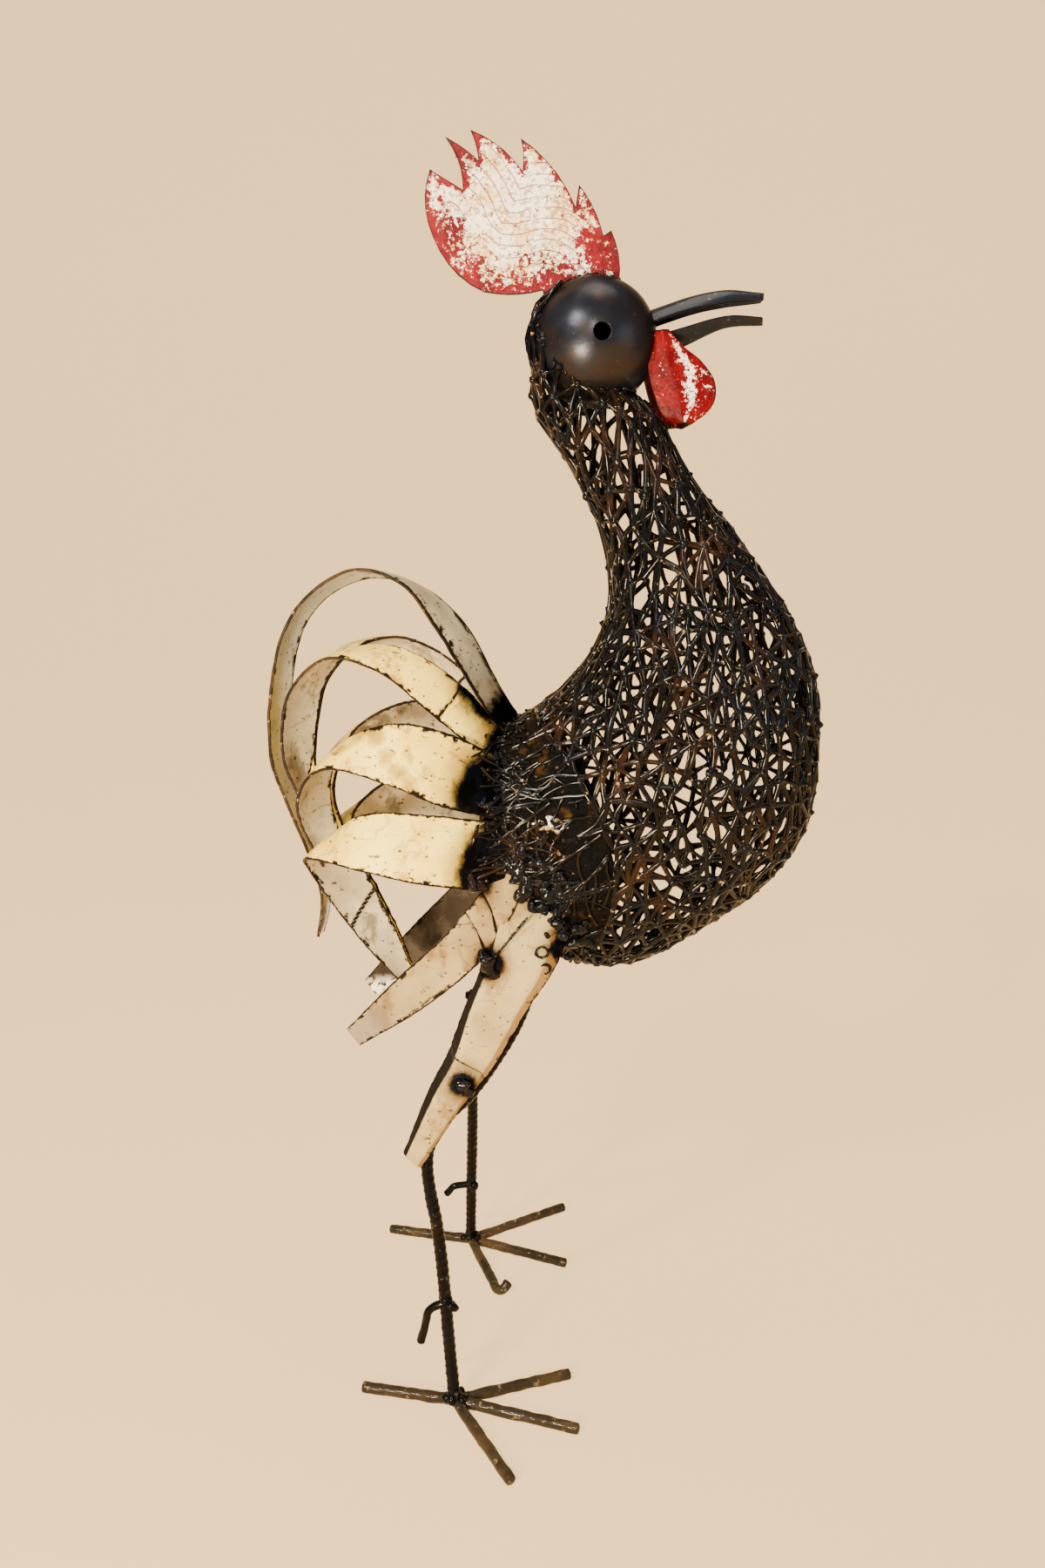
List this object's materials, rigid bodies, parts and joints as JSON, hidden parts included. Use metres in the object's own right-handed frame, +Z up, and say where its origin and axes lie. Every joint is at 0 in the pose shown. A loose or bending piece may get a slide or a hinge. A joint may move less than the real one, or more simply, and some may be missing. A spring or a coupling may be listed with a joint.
{
  "type": "wire rooster sculpture",
  "caption": "Standing rooster in welded scrap steel: hollow wire-lattice body and neck, ball head, painted comb and wattles, painted sheet tail, rod legs and toes",
  "frame": {"origin": "middle of the bounding box's underside, on the floor between the feet", "axes": "+X where the beak points, +Y the rooster's left, +Z up"},
  "size_m": [0.3862, 0.3144, 0.8505],
  "materials": {
    "ball_steel": "black gunmetal, glossy",
    "comb_paint": "thick glossy crimson paint, hammered",
    "beak_steel": "dark satin",
    "wattle_paint": "glossy red paint",
    "body_wire": "blackened wire with brown and gold heat patina, lacquered",
    "rump_sheet": "blackened sheet with brown and gold heat patina, lacquered",
    "tail_paint": "old cream paint, chipped and scorched at the welds",
    "plate_paint": "old cream paint, stained and scorched at the welds",
    "leg_steel": "blackened ribbed rod, lacquered",
    "toe_steel": "brown satin rod"
  },
  "bodies": {
    "root": {"head_ball": "ball_steel", "comb": "comb_paint", "beak_upper": "beak_steel", "beak_lower": "beak_steel", "wattle_right": "wattle_paint", "wattle_left": "wattle_paint", "body_cage": "body_wire", "rump_cup": "rump_sheet", "tail_centre": "tail_paint", "tail_upper_right": "tail_paint", "tail_middle_right": "tail_paint", "tail_lower_right": "tail_paint", "tail_upper_left": "tail_paint", "tail_middle_left": "tail_paint", "tail_lower_left": "tail_paint", "wing_right": "plate_paint", "wing_left": "plate_paint", "thigh_right": "plate_paint", "thigh_left": "plate_paint", "leg_right": "leg_steel", "leg_left": "leg_steel", "spur_right": "leg_steel", "spur_left": "leg_steel", "toe_bent_right": "toe_steel", "toe_bent_left": "toe_steel", "toe_middle_right": "toe_steel", "toe_middle_left": "toe_steel", "toe_front_right": "toe_steel", "toe_front_left": "toe_steel"}
  },
  "joints": []
}
